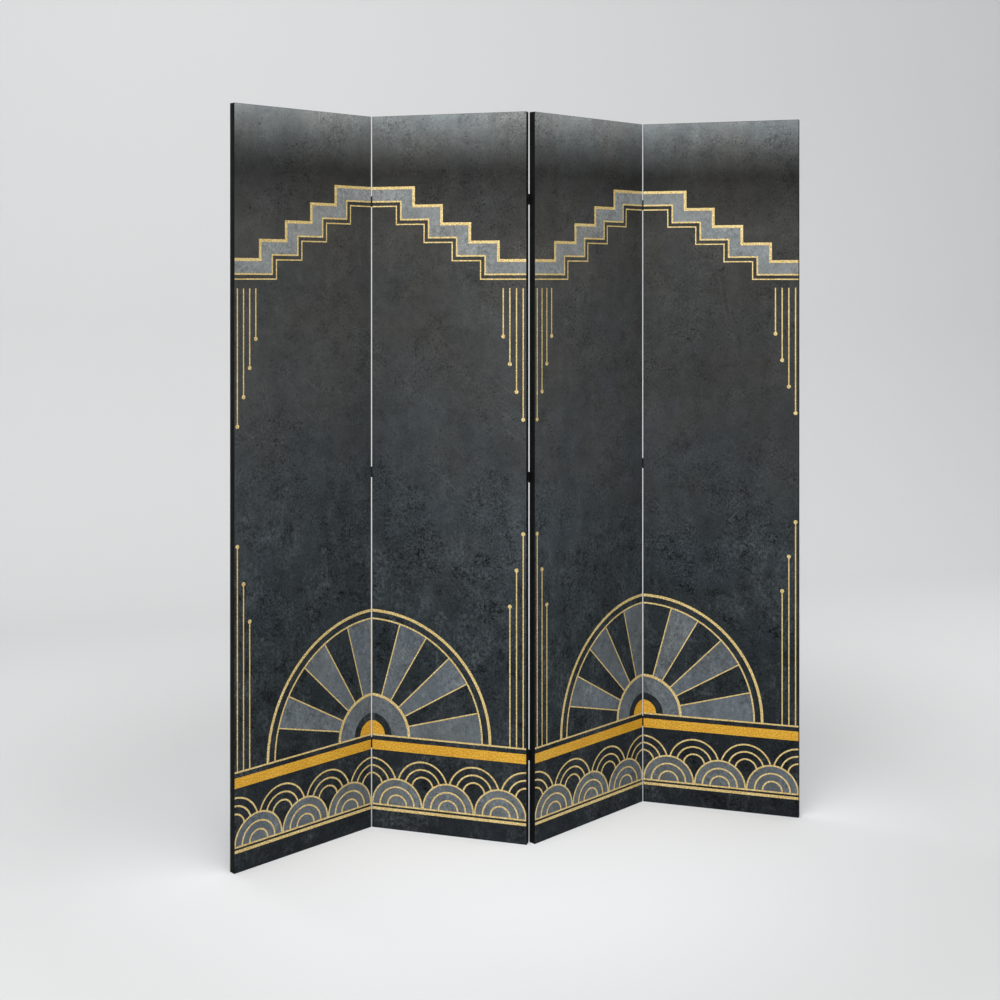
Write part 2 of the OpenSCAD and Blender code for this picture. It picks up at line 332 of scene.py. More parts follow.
@dataclass(kw_only=True)
class WornPrint(Finish):
    """A printed field that looks like worn concrete.

    Clouds, blotches and drips change its tone. Patches gather its grain, dark pits and pale flecks,
    scratches cross it, and a pale bloom and fine wisps lie over it.
    """

    specular: float = 0.12
    printed: bool = True
    clouds: float = 0.15
    blotches: float = 0.14
    drips: float = 0.09
    grain: float = 0.80
    pits: float = 0.62
    flecks: float = 0.80
    scratches: float = 0.34
    wisps: float = 0.62
    bloom: float = 0.82
    bloom_tone: Colour = linear(80, 86, 89)
    warm: Colour = (1.03, 1.0, 0.97)
    cool: Colour = (0.97, 1.0, 1.03)
    bare: float = 0.4
    crowding: float = 0.05
    fine_limits: Pair = (0.15, 3.0)
    cloud_noise: Noise = Noise(3.1, 5, 0.55)
    blotch_noise: Noise = Noise(24, 4, 0.62, distortion=0.4, band=(0.32, 0.68))
    drip_noise: Noise = Noise(1, 3, 0.6, factors=(19, 3, 1))
    patch_noise: Noise = Noise(6.5, 4, 0.62, distortion=0.7, band=(0.42, 0.60))
    grain_noise: Noise = Noise(215, 3, 0.75, factors=(1, 0.75, 1), band=(0.32, 0.68))
    pit_noise: Noise = Noise(150, 2, 0.6, band=(0.67, 0.70))
    fleck_noise: Noise = Noise(165, 2, 0.6, band=(0.68, 0.71))
    scratch_noises: tuple[Noise, ...] = tuple(
        Noise(1, 1, factors=(across, 5, 1), turn=turn, band=(0.72, 0.78))
        for turn, across in ((0.9, 330), (-0.6, 260), (0.15, 290)))
    tint_noise: Noise = Noise(5.2, 3, 0.6, band=(0.38, 0.62))
    bloom_noise: Noise = Noise(13, 5, 0.70, (1, 0.6, 1), distortion=0.5, band=(0.47, 0.64))
    speck_noise: Noise = Noise(125, 4, 0.75, factors=(1, 0.7, 1), band=(0.42, 0.64))
    wisp_runs: tuple[Pair, ...] = ((36, -1.0), (62, -1.0), (50, 0.7))
    wisp_width: Pair = (0.008, 0.062)
    wisp_pieces: Noise = Noise(27, 3, 0.65, band=(0.52, 0.58))
    noise_middle: float = 0.5

    def worn(self, colour: Value, strength: Value = 1.0) -> Socket:
        """Lay the wear on a colour.

        Args:
            colour: the plain colour.
            strength: how strong the grain is.

        Returns:
            The worn colour.
        """
        broad = [self.mottle(noise, 1 - depth, 1 + depth) for noise, depth in (
            (self.cloud_noise, self.clouds), (self.blotch_noise, self.blotches),
            (self.drip_noise, self.drips))]
        patch = self.mottle(self.patch_noise)
        share = self.times(self.spread(patch, 0, 1, self.bare, 1), strength)
        fine = self.grit(patch, share, strength)
        tint = self.blend(self.mottle(self.tint_noise), self.warm, self.cool)
        tone = self.tinge(colour, tint, self.times(*broad, fine))
        where = self.mottle(self.bloom_noise)
        specks = self.mottle(self.speck_noise, 0, self.bloom)
        bloom = self.times(where, specks, self.reckon("POWER", strength, 2))
        marks = [self.wisp(scale, depth * self.wisps, share) for scale, depth in self.wisp_runs]
        return self.tinge(self.blend(bloom, tone, self.bloom_tone), self.plus(1.0, *marks))

    def grit(self, patch: Socket, share: Socket, strength: Value) -> Socket:
        """Work out the fine wear: grain, pits, flecks and scratches.

        Args:
            patch: where it gathers, 0 to 1.
            share: how strong the grain is at a place.
            strength: how strong the flecks are.

        Returns:
            What the tone is multiplied by.
        """
        crowd = self.times(patch, self.crowding)
        grain = self.times(self.mottle(self.grain_noise, -self.grain, self.grain), share)
        pits = self.mottle(self.pit_noise, 0, -self.pits, crowd)
        flecks = self.times(self.mottle(self.fleck_noise, 0, self.flecks, crowd), strength)
        lines = [self.mottle(noise, 0, self.scratches) for noise in self.scratch_noises]
        fine = self.plus(1.0, grain, pits, flecks, *lines)
        return self.spread(fine, *self.fine_limits, *self.fine_limits)

    def wisp(self, scale: float, depth: float, share: Socket) -> Socket:
        """Draw the broken lines along which a noise is just in its middle.

        Args:
            scale: scale of the noise.
            depth: how much paler the lines are, less than 0 where they are darker.
            share: how strong they are at a place.

        Returns:
            What they add to the tone.
        """
        noise = self.noise(Noise(scale, 3, 0.6, distortion=0.6))
        off_middle = self.reckon("ABSOLUTE", self.plus(noise, -self.noise_middle), 0)
        line = self.spread(off_middle, *self.wisp_width, depth, 0)
        return self.times(line, self.mottle(self.wisp_pieces), share)


@dataclass(kw_only=True)
class PrintedGround(WornPrint):
    """The print's ground: charcoal, warmer above and bluer below, light grey at the top edge."""

    name: str = "printed charcoal ground"
    roughness: float = 0.87
    gloss_reach: float = 0.07
    tones: tuple[Stop, ...] = (
        (0.00, linear(31, 35, 39)), (0.25, linear(38, 44, 47)), (0.42, linear(50, 55, 58)),
        (0.60, linear(59, 61, 61)), (0.84, linear(62, 62, 60)), (0.92, linear(41, 41, 39)))
    top_edge: Colour = linear(125, 129, 129)
    fade_from: float = 0.915
    fade_power: float = 1.75
    drift: float = 0.05
    drift_noise: Noise = Noise(1.6, 3, 0.5)
    drift_ends: Carry = (0.80, 0.90, 1, 0)
    # paler and darker are painted light and shade along the print: lighter from the middle of panel
    # 1 to the middle of panel 3, darker from there over panel 4, for how light falls on the panels
    paler: Carry = (0.12, 0.62, 1.02, 1.15)
    darker: Carry = (0.62, 0.88, 0.0, -0.24)
    wear: Carry = (0.58, 0.40, 0.42, 1.0)
    gloss_noise: Noise = Noise(60, 4, 0.6)

    def paint(self) -> None:
        """Carry the tones up the print, fade them at the top, paint light and shade across the
        panels and wear them.
        """
        height = self.print_share("Y", SIZES.height)
        drift = self.mottle(self.drift_noise, -self.drift, self.drift)
        drifted = self.plus(height, self.times(drift, self.spread(height, *self.drift_ends)))
        fade = self.reckon("POWER", self.spread(height, self.fade_from, 1.0), self.fade_power)
        tone = self.blend(fade, self.ramp(drifted, self.tones), self.top_edge)
        along = self.print_share("X", SIZES.flat_width)
        # painted light and shade across the panels
        painted_light_and_shade_across = self.plus(self.spread(along, *self.paler), self.spread(along, *self.darker))
        strength = self.spread(drifted, *self.wear)
        self.shade("Base Color", self.worn(self.tinge(tone, painted_light_and_shade_across), strength))
        self.roughen(self.noise(self.gloss_noise))
        self.bump(self.weave())


@dataclass(kw_only=True)
class GreyPrint(WornPrint):
    """Lighter grey fields of the print, neutral above and bluer below, less worn."""

    name: str = "printed grey field"
    roughness: float = 0.84
    upper: Colour = linear(124, 127, 126)
    lower: Colour = linear(91, 97, 101)
    change: Pair = (0.35, 0.75)
    clouds: float = 0.10
    blotches: float = 0.12
    drips: float = 0.08
    grain: float = 0.42
    pits: float = 0.34
    flecks: float = 0.34
    scratches: float = 0.16
    wisps: float = 0.28
    bloom: float = 0.55
    bloom_tone: Colour = linear(140, 146, 150)

    def paint(self) -> None:
        """Carry the lower grey over to the upper one, and wear it."""
        share = self.spread(self.print_share("Y", SIZES.height), *self.change)
        self.shade("Base Color", self.worn(self.blend(share, self.lower, self.upper)))
        self.bump(self.weave())


@dataclass(kw_only=True)
class GoldPrint(Finish):
    """Gold of the print: a fine glitter of light and dark grains, of which the light ones shine."""

    dark: Colour
    middle: Colour
    light: Colour
    roughness: float = 0.435
    metallic: float = 0.2
    specular: float = 0.4
    printed: bool = True
    relief: Pair = (0.12 * MM, 0.6)
    gloss_reach: float = -0.115
    grain_noise: Noise = Noise(310, 3, 0.8, band=(0.41, 0.59))
    patch_noise: Noise = Noise(26, 2, 0.5)
    patches: float = 0.08
    plateau: Pair = (0.40, 0.65)

    def paint(self) -> None:
        """Colour the grains, in patches, and let the light ones shine more."""
        grains = self.noise(self.grain_noise)
        patches = self.mottle(self.patch_noise, -self.patches, self.patches)
        value = self.plus(self.spread(grains, *self.grain_noise.band), patches)
        middle = [(place, self.middle) for place in self.plateau]
        self.shade("Base Color", self.ramp(value, [(0.0, self.dark), *middle, (1.0, self.light)]))
        self.roughen(grains)
        self.bump(grains)


@dataclass(kw_only=True)
class BlackCanvas(Finish):
    """The canvas where it wraps round the frame: black ink, worn at the tops of the threads."""

    name: str = "black canvas edge"
    roughness: float = 0.78
    specular: float = 0.10
    printed: bool = True
    relief: Pair = (0.14 * MM, 0.6)
    ink: Colour = linear(13, 14, 15)
    worn: Colour = linear(27, 28, 29)
    wear_noise: Noise = Noise(38, 4, 0.7, band=(0.45, 0.75))

    def paint(self) -> None:
        """Wear the ink off the threads."""
        threads = self.weave()
        wear = self.times(threads, self.mottle(self.wear_noise))
        self.shade("Base Color", self.blend(wear, self.ink, self.worn))
        self.bump(threads)


@dataclass(kw_only=True)
class Fleece(Finish):
    """Black non-woven cloth: matted fibres, pressed together in rows of small dots."""

    name: str = "black non-woven cloth"
    roughness: float = 0.93
    specular: float = 0.15
    printed: bool = True
    relief: Pair = (0.30 * MM, 0.9)
    sheen: float = 0.25
    sheen_roughness: float = 0.6
    dark: Colour = linear(22, 22, 23)
    light: Colour = linear(60, 60, 63)
    fibre_noise: Noise = Noise(1, 5, 0.75, (900, 260, 1), turn=0.5, distortion=1.5)
    mat_noise: Noise = Noise(42, 4, 0.65)
    dot_pitch: float = 2.4 * MM
    dot_edge: Pair = (0.12, 0.34)
    dot_share: float = 0.55
    mat_low: float = 0.25
    painted_shade_band: Pair = (0.2, 0.9)

    def paint(self) -> None:
        """Mat the fibres, press the dots, and paint shade where the fibres and dots lie low."""
        self.shade("Sheen Weight", self.sheen)
        self.shade("Sheen Roughness", self.sheen_roughness)
        fibres = self.times(self.noise(self.fibre_noise), 1 - self.dot_share)
        mats = self.mottle(self.mat_noise, self.mat_low)
        dots = self.spread(self.cells(1 / self.dot_pitch), *self.dot_edge)
        height = self.plus(fibres, self.times(dots, self.dot_share))
        # painted shade: the cloth is darker where it lies low
        tone = self.times(mats, self.spread(height, *self.painted_shade_band))
        self.shade("Base Color", self.blend(tone, self.dark, self.light))
        self.bump(height)


class Run(Enum):
    """Which way a wooden bar and its grain run."""

    UPRIGHT = "upright"
    LEVEL = "level"


@dataclass(kw_only=True)
class Pine(Finish):
    """Bare planed pine, with its grain along the bar."""

    run: Run
    roughness: float = 0.62
    specular: float = 0.35
    relief: Pair = (0.15 * MM, 0.4)
    light: Colour = linear(222, 190, 142)
    dark: Colour = linear(184, 139, 88)
    along: float = 2.2
    across: float = 55.0
    rings: Carry = (0.36, 0.64, 0, 0.85)
    pores: float = 0.3

    def paint(self) -> None:
        """Draw the rings and the pores."""
        factors = {Run.UPRIGHT: (self.across, self.across, self.along),
                   Run.LEVEL: (self.along, self.along, self.across)}[self.run]
        rings = self.noise(Noise(1, 4, 0.55, factors, distortion=1.2))
        pores = self.mottle(Noise(5, 3, 0.7, factors, band=(0.5, 0.8)), 0, self.pores)
        tone = self.plus(self.spread(rings, *self.rings), pores)
        self.shade("Base Color", self.blend(tone, self.light, self.dark))
        self.bump(rings)


@dataclass(kw_only=True)
class Lacquer(Finish):
    """Thin lacquer, zinc or blackening on steel, rubbed off in small patches."""

    base: Colour
    rubbed: Colour
    roughness: float = 0.41
    specular: float = 0.45
    relief: Pair = (0.03 * MM, 0.5)
    gloss_reach: float = 0.11
    speckle_noise: Noise = Noise(900, 3, 0.7)
    rub_noise: Noise = Noise(160, 5, 0.7, band=(0.60, 0.74))
    rubs: float = 0.7

    def paint(self) -> None:
        """Rub the patches and speckle the gloss."""
        speckle = self.noise(self.speckle_noise)
        rubs = self.mottle(self.rub_noise, 0, self.rubs)
        self.shade("Base Color", self.blend(rubs, self.base, self.rubbed))
        self.roughen(speckle)
        self.bump(speckle)


@dataclass(kw_only=True)
class StudioPaintWithPaintedLight(Finish):
    """Matt pale paint of the studio's floor and wall, with painted light: a pool round the screen's
    place, a dimmer floor beyond and a paler far floor and wall.
    """

    name: str = "studio paint with painted light"
    roughness: float = 0.9
    specular: float = 0.1
    # near is a painted pool of light round the screen, bright and slightly blue to paint out the
    # shade at its foot and the warm light off the gold; middle is the painted dimmer floor beyond
    # it; far is the painted paler tone of the far floor and the wall
    near: Colour = (0.88, 0.888, 0.90)
    middle: Colour = (0.662, 0.662, 0.662)
    far: Colour = (0.75, 0.75, 0.75)
    painted_pool_reach: Pair = (0.25, 1.20)
    painted_far_reach: Pair = (1.12, 2.35)

    def paint(self) -> None:
        """Paint the pool of light and the tones beyond it by the distance from the screen's middle.
        """
        inputs = {0: self.coordinates}
        away = self.node("VectorMath", inputs, operation="LENGTH").outputs["Value"]
        tone: Value = self.near
        for paint, reach in ((self.middle, self.painted_pool_reach), (self.far, self.painted_far_reach)):
            tone = self.blend(self.spread(away, *reach, course="SMOOTHSTEP"), tone, paint)
        self.shade("Base Color", tone)


def smooth_step(share: float) -> float:
    """Clamp a share and ease it from 0 to 1, flat at both ends."""
    share = min(1.0, max(0.0, share))
    return share * share * (3 - 2 * share)


def born(made: Mapping[str, list], kind: type[Part], key: str = "geom") -> list[Part]:
    """Pick the vertices, edges or faces out of what an operator made."""
    return [part for part in made[key] if isinstance(part, kind)]


def merge(whole: BMesh, part: BMesh) -> None:
    """Add a shape to another.

    Args:
        whole: what it is added to.
        part: the shape, which is freed.
    """
    stencil = bpy.data.meshes.new("stencil")
    part.to_mesh(stencil)
    part.free()
    whole.from_mesh(stencil)
    bpy.data.meshes.remove(stencil)


def carry(sheet: BMesh, edge: BMEdge, step: Triple) -> BMEdge:
    """Lengthen a sheet at an edge.

    Args:
        sheet: the sheet.
        edge: one of its edges.
        step: the way that the edge goes.

    Returns:
        The new edge.
    """
    made = bmesh.ops.extrude_edge_only(sheet, edges=[edge])
    bmesh.ops.translate(sheet, verts=born(made, BMVert), vec=step)
    return born(made, BMEdge)[0]


def thicken(sheet: BMesh, step: Triple) -> None:
    """Make flat shapes closed plates.

    Args:
        sheet: the flat shapes.
        step: the way from their first face to the second.
    """
    made = bmesh.ops.extrude_face_region(sheet, geom=sheet.faces[:], use_keep_orig=True)
    bmesh.ops.translate(sheet, verts=born(made, BMVert), vec=step)
    bmesh.ops.recalc_face_normals(sheet, faces=sheet.faces)


def to_object(shape: BMesh, name: str, place: Matrix, materials: Sequence[Material],
              smooth_angle: float = 0.0) -> Object:
    """Turn a bmesh into an object whose place is in its mesh.

    Args:
        shape: the bmesh, which is freed.
        name: the object's name.
        place: matrix from the shape's frame to the screen's.
        materials: materials of its slots, in order.
        smooth_angle: angle in degrees up to which neighbouring faces are shaded as one surface.

    Returns:
        The object.
    """
    mesh = bpy.data.meshes.new(name)
    shape.to_mesh(mesh)
    shape.free()
    mesh.transform(place)
    for material in materials:
        mesh.materials.append(material)
    if smooth_angle:
        mesh.shade_smooth()
        mesh.set_sharp_from_angle(angle=math.radians(smooth_angle))
    piece = bpy.data.objects.new(name, mesh)
    bpy.context.scene.collection.objects.link(piece)
    return piece


@dataclass
class PrintLayer:
    """Flat shapes of one ink, drawn on the whole print laid flat: x along it and z up.

    Its rise is how far its face stands before the canvas, and its slot is the material slot of its
    ink in the piece that it becomes a part of.
    """

    rise: float
    slot: int = 0

    def __post_init__(self) -> None:
        """Start with nothing drawn."""
        self.shape = bmesh.new()

    def ribbon(self, path: Sequence[Pair], width: float) -> None:
        """Draw a line of straight runs with mitred corners.

        Args:
            path: the points of its middle line.
            width: the line's width.
        """
        points = [Vector((x, 0, z)) for x, z in path]
        runs = [(b - a).normalized() for a, b in zip(points, points[1:])]
        sides: list[tuple[Vector, Vector]] = []
        for i, point in enumerate(points):
            before, after = runs[max(0, i - 1)], runs[min(i, len(runs) - 1)]
            across = Vector((-before.z - after.z, 0, before.x + after.x)).normalized()
            reach = width / 2 / across.dot(Vector((-after.z, 0, after.x)))
            sides.append((point - across * reach, point + across * reach))
        part = bmesh.new()
        edge = part.edges.new([part.verts.new(end) for end in sides[0]])
        for (last, _), (low, high) in zip(sides, sides[1:]):
            edge = carry(part, edge, (0, 0, 0))
            first, second = sorted(edge.verts, key=lambda v: (v.co - last).length)
            first.co, second.co = low, high
        merge(self.shape, part)

    def sector(self, centre: Pair, inner: float, outer: float, start: float = 0.0,
               end: float = math.pi, step: float = math.radians(4)) -> None:
        """Draw a part of a ring, or of a disc where the inner radius is nothing.

        Args:
            centre: the ring's centre.
            inner: inner radius.
            outer: outer radius.
            start: angle where it starts, from x upwards.
            end: angle where it ends.
            step: largest turn of one side of it.
        """
        middle = Vector((centre[0], 0, centre[1]))
        ray = Vector((math.cos(start), 0, math.sin(start)))
        part = bmesh.new()
        ends = [part.verts.new(middle + ray * radius) for radius in (max(inner, SPECK), outer)]
        turn = end - start
        bmesh.ops.spin(part, geom=[*ends, part.edges.new(ends)], cent=middle, axis=(0, -1, 0),
                       angle=turn, steps=max(1, math.ceil(turn / step - SPECK)),
                       use_duplicate=False, use_merge=turn >= math.tau)
        merge(self.shape, part)

    def ring(self, centre: Pair, outer: float, width: float) -> None:
        """Draw a half ring of a line's width, by its outer radius."""
        self.sector(centre, outer - width, outer)

    def box(self, low: Pair, high: Pair) -> None:
        """Fill an upright rectangle from its lower left to its upper right corner."""
        middle = (low[1] + high[1]) / 2
        self.ribbon([(low[0], middle), (high[0], middle)], high[1] - low[1])

    def stripe(self, low: float, high: float) -> None:
        """Fill a stripe along the whole print between two heights."""
        self.box((0, low), (SIZES.flat_width, high))


@dataclass
class PrintDesign:
    """A generic design: stepped arches, hanging lines, rising half fans and scallops."""

    fine: float = 3 * MM
    thin: float = 4 * MM
    thick: float = 7 * MM
    base_line: float = 46 * MM
    foot: float = 62 * MM
    scallops_per_panel: int = 3
    back_row: float = 0.72
    back_rings: Triple = (1.0, 0.72, 0.44)
    front_rings: Triple = (1.0, 0.70, 0.40)
    band: Pair = (198 * MM, 222 * MM)
    band_line: float = 11 * MM
    arch_joints: tuple[int, ...] = (1, 3)
    line_joints: tuple[int, ...] = (0, 2, 4)
    fan_radius: float = 316 * MM
    fan_rim: float = 22 * MM
    fan_rays: int = 12
    hub_radius: float = 96 * MM
    hub_field: float = 0.55
    hub_core: float = 0.36
    arch_top: float = 1618 * MM
    arch_step: float = 46 * MM
    arch_half_width: float = 112 * MM
    arch_tread: float = 74 * MM
    arch_steps: int = 4
    arch_field: float = 34 * MM
    arch_inner: float = 12 * MM
    hanging: tuple[float, ...] = (318 * MM, 250 * MM, 182 * MM, 114 * MM)
    rising: tuple[float, ...] = (520 * MM, 430 * MM, 340 * MM)
    line_pitch: float = 17 * MM
    bead: float = 5 * MM
    bead_step: float = math.radians(20)
    rises: tuple[float, ...] = (0.04 * MM, 0.10 * MM, 0.07 * MM, 0.13 * MM)
    bite: float = 0.02 * MM

    def __post_init__(self) -> None:
        """Draw the whole design on its layers."""
        self.far_grey, self.near_grey, self.far_line, self.near_line = map(PrintLayer, self.rises)
        self.near_band = PrintLayer(self.rises[-1], slot=1)
        self.draw_base()
        for joint in self.arch_joints:
            self.draw_fan(joint * SIZES.panel_width)
            self.draw_arch(joint * SIZES.panel_width)
        under_arch = self.arch_top - self.arch_steps * self.arch_step - 2 * self.arch_field
        for joint in self.line_joints:
            middle = joint * SIZES.panel_width
            self.draw_lines(middle, under_arch, [-length for length in self.hanging])
            self.draw_lines(middle, self.above_band, self.rising)

    @property
    def above_band(self) -> float:
        """Height from which the fans rise."""
        return self.band[1] + self.band_line + self.thin

    def draw_base(self) -> None:
        """Draw the base lines, two staggered rows of scallops and the gold band over them."""
        count = self.scallops_per_panel * SIZES.panels
        pitch = SIZES.flat_width / count
        radius = pitch / 2
        for i in range(count + 1):
            centre = (i * pitch, self.foot + radius * self.back_row)
            for share in self.back_rings:
                self.far_line.ring(centre, share * radius, self.thin)
        for i in range(count):
            centre = ((i + 0.5) * pitch, self.foot)
            self.near_grey.sector(centre, 0, radius - self.thin / 2)
            for share in self.front_rings:
                self.near_line.ring(centre, share * radius, self.thin)
        self.near_line.stripe(self.base_line, self.base_line + self.thick)
        self.near_line.stripe(self.foot - self.thin, self.foot)
        self.near_band.stripe(*self.band)
        self.near_line.stripe(self.above_band - self.thin, self.above_band)

    def draw_fan(self, u: float) -> None:
        """Draw a rising half fan on the band.

        Args:
            u: place of its middle along the print.
        """
        centre = (u, self.above_band)
        inner = self.fan_radius - self.fan_rim
        low, high = self.hub_radius + self.thick, inner - self.thin
        turn = math.pi / self.fan_rays
        for radius, width in ((self.fan_radius, self.thick), (inner, self.thin), (low, self.thick)):
            self.near_line.ring(centre, radius, width)
        self.near_band.sector(centre, 0, self.hub_radius * self.hub_core)
        self.far_grey.sector(centre, self.hub_radius * self.hub_field, self.hub_radius)
        for i in range(0, self.fan_rays, 2):
            self.far_grey.sector(centre, low, high, i * turn, (i + 1) * turn)
        for i in range(1, self.fan_rays):
            ray = Vector((math.cos(i * turn), math.sin(i * turn)))
            ends = [Vector(centre) + ray * radius for radius in (low, high)]
            self.near_line.ribbon(ends, self.fine)

    def arch_path(self, u: float, inset: float) -> list[Pair]:
        """Give the corners of a stepped arch from its left foot to its right foot.

        Args:
            u: place of its middle along the print.
            inset: how far it lies inside the outermost arch, all along.

        Returns:
            The points.
        """
        steps: list[Pair] = []
        for i in range(self.arch_steps):
            reach = self.arch_half_width + i * self.arch_tread - inset
            level = self.arch_top - inset - i * self.arch_step
            steps += [(reach, level), (reach, level - self.arch_step)]
        steps.append((SIZES.panel_width, steps[-1][1]))
        left = [(u - x, z) for x, z in reversed(steps)]
        return left + [(u + x, z) for x, z in steps]

    def draw_arch(self, u: float) -> None:
        """Draw a stepped arch of three lines, with a grey field between the upper two.

        Args:
            u: place of its middle along the print.
        """
        deep = self.arch_field
        self.far_grey.ribbon(self.arch_path(u, deep / 2), deep)
        insets = {0.0: self.thick, deep: self.thin, deep + self.arch_inner: self.fine}
        for inset, width in insets.items():
            self.near_line.ribbon(self.arch_path(u, inset), width)

    def draw_lines(self, u: float, start: float, lengths: Sequence[float]) -> None:
        """Draw upright lines that get shorter to both sides, each with a bead on its end.

        Args:
            u: place of their middle along the print.
            start: height where they start.
            lengths: their lengths from the middle out, downwards where they are negative.
        """
        half = self.fine / 2
        for i, length in enumerate(lengths):
            low, high = sorted((start, start + length))
            bead_at = start + length + math.copysign(self.bead, length)
            for side in (-1, 1):
                x = u + side * (i + 0.5) * self.line_pitch
                self.near_line.box((x - half, low), (x + half, high))
                self.near_line.sector((x, bead_at), 0, self.bead, 0, math.tau, self.bead_step)

    def cut(self, layers: Sequence[PrintLayer], first_u: float) -> BMesh:
        """Cut one panel's share out of some layers, and give each its thickness.

        Args:
            layers: the layers.
            first_u: the print's coordinate at the panel's left edge.

        Returns:
            The shapes as closed plates, in the panel's frame.
        """
        whole = bmesh.new()
        for layer in layers:
            share = layer.shape.copy()
            for side, x in ((-1, SIZES.edge_round), (1, SIZES.panel_width - SIZES.edge_round)):
                bmesh.ops.bisect_plane(
                    share, geom=[*share.verts, *share.edges, *share.faces], dist=SPECK / 10,
                    plane_co=(first_u + x, 0, 0), plane_no=(side, 0, 0), clear_outer=True)
            bmesh.ops.remove_doubles(share, verts=share.verts, dist=2 * SPECK)
            bmesh.ops.translate(share, verts=share.verts, vec=(-first_u, self.bite, 0))
            thicken(share, (0, -layer.rise - self.bite, 0))
            for face in share.faces:
                face.material_index = layer.slot
            merge(whole, share)
        return whole


@dataclass
class Panel:
    """One panel's canvas, print, back cloth and staples."""

    number: int
    fold_angle: float = math.radians(60)
    fold_segments: int = 4
    staple_pitch: float = 76 * MM
    staple_inset: float = 12 * MM
    corner_gap: float = 24 * MM
    staple_skew: float = 7.0
    crown: float = 10 * MM
    wire: Pair = (1.1 * MM, 0.55 * MM)
    wire_proud: float = 0.8
    wire_bend: float = 0.6
    leg: float = 5 * MM
    pucker: float = 0.8 * MM
    pucker_reach: float = 2.2
    ledge: float = 0.4 * MM
    ledge_run: float = 4 * MM
    sag: float = 1.6 * MM
    sag_run: float = 45 * MM
    ripple: float = 1.3 * MM
    ripple_run: tuple[Pair, Pair] = ((3.2, 1.4), (-1.1, 2.3))
    ripple_gap: float = 7.3
    bar_width: float = 38 * MM
    cross_bars: int = 2
    cross_bar_height: float = 30 * MM
    cloth_grid: tuple[int, int] = (44, 200)

    @property
    def first_u(self) -> float:
        """The print's coordinate at the panel's left edge."""
        return (self.number - 1) * SIZES.panel_width

    def place(self) -> Matrix:
        """Find where the panel stands, from the pins of a joint beside it.

        Returns:
            The matrix from the panel's frame to the screen's.
        """
        joint = max(1, self.number - 1)
        fold = f"fold_{joint}{joint + 1}"
        pins = next(j for j in frame["joints"] if j["name"] == fold)["pos_m"]
        half_gap = SIZES.end_gap / 2
        x = SIZES.panel_width + half_gap if joint == self.number else -half_gap
        y = -SIZES.axis_out if joint % 2 else SIZES.depth + SIZES.axis_out
        turn = Matrix.Rotation(SIZES.half_fold * (1 if self.number % 2 else -1), 4, "Z")
        return Matrix.Translation((*pins[:2], 0)) @ turn @ Matrix.Translation((-x, -y, 0))

    def finished(self, shape: BMesh, name: str, materials: Sequence[Material],
                 smooth_angle: float = 0.0) -> Object:
        """Make a shape in the panel's frame a piece that rides on the panel.

        Args:
            shape: the bmesh, which is freed.
            name: the piece's name, without the panel's number.
            materials: materials of its slots, in order.
            smooth_angle: angle in degrees up to which it is shaded smooth.

        Returns:
            The piece.
        """
        name = f"{name}_{self.number}"
        piece = to_object(shape, name, self.place(), materials, smooth_angle)
        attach(piece, f"panel_{self.number}")
        LOG.info("%s: %d faces", piece.name, len(piece.data.polygons))
        return piece

    def map_print(self, shape: BMesh) -> None:
        """Give a shape the print's flat coordinates, wrapped round the panel's edges.

        Args:
            shape: the bmesh.
        """
        layer = shape.loops.layers.uv.new(PRINT_UV)
        shape.normal_update()
        for face in shape.faces:
            on_side = abs(face.normal.x) > SIDEWAYS
            on_end = abs(face.normal.z) > SIDEWAYS
            for corner in face.loops:
                x, y, z = corner.vert.co
                corner[layer].uv = (self.first_u + (y if on_side else x), y if on_end else z)

    def canvas(self, ground: Material, edge: Material) -> None:
        """Stretch the canvas: front, edges and the turn-over on the back, with rounded folds.

        Args:
            ground: finish of the printed front.
            edge: finish of the edges and the back.
        """
        width, depth, height = SIZES.panel_width, SIZES.canvas_depth, SIZES.height
        size = Vector((width, depth, height))
        shape = bmesh.new()
        bmesh.ops.create_cube(shape, size=1.0, matrix=Matrix.LocRotScale(size / 2, None, size))
        back = max(shape.faces, key=lambda f: f.calc_center_median().y)
        bmesh.ops.inset_region(shape, faces=[back], thickness=SIZES.turn_over, use_even_offset=True)
        bmesh.ops.delete(shape, geom=[back], context="FACES_ONLY")
        folds = [e for e in shape.edges if e.calc_face_angle(0) > self.fold_angle]
        bmesh.ops.bevel(shape, geom=folds, offset=SIZES.edge_round, segments=self.fold_segments,
                        profile=0.5, affect="EDGES", material=-1)
        shape.normal_update()
        for face in shape.faces:
            face.material_index = 0 if face.normal.y < -FRONTAL else 1
        bmesh.ops.recalc_face_normals(shape, faces=shape.faces)
        bmesh.ops.solidify(shape, geom=shape.faces[:], thickness=SIZES.canvas)
        self.map_print(shape)
        piece = self.finished(shape, "canvas_cloth", (ground, edge),
                              smooth_angle=50)
        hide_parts(f"canvas_{self.number}")

    def print_on(self, design: PrintDesign, golds: Sequence[Material], grey: Material) -> None:
        """Lay the panel's share of the print on its canvas.

        Args:
            design: the design, drawn.
            golds: finishes of the gold lines and of the gold bands.
            grey: finish of the grey fields.
        """
        for name, layers, finishes in (
                ("gold_print", (design.far_line, design.near_line, design.near_band), golds),
                ("grey_print", (design.far_grey, design.near_grey), (grey,))):
            shape = design.cut(layers, self.first_u)
            self.map_print(shape)
            self.finished(shape, name, finishes)

